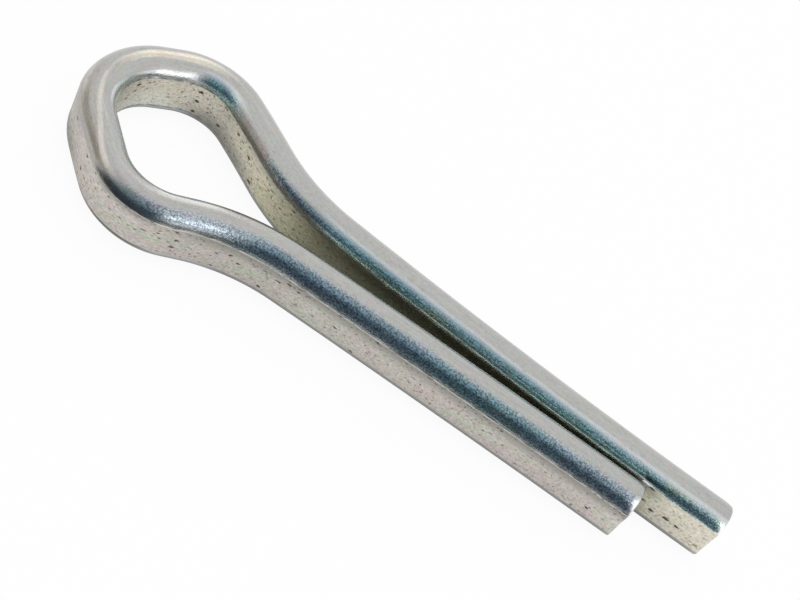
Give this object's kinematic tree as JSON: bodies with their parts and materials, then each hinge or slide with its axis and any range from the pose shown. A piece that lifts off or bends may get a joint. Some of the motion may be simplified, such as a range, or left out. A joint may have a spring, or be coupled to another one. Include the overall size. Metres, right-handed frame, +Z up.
{
  "type": "cotter pin",
  "caption": "Split cotter pin bent from flat-sided wire, with an open eye, a necked shank and a long and a short leg, for locking a nut or clevis.",
  "frame": {"origin": "on the floor, under the middle of the pin's length and width as it lies flat", "axes": "+X from the eye to the leg tips, +Y across the legs towards the long leg, +Z up, along the height of the wire"},
  "size_m": [0.0714, 0.0208, 0.0069],
  "materials": {
    "zinc_steel": "zinc plated drawn wire, bright crowns, dull speckled flats"
  },
  "bodies": {
    "root": {"cotter_pin": "zinc_steel"}
  },
  "joints": []
}
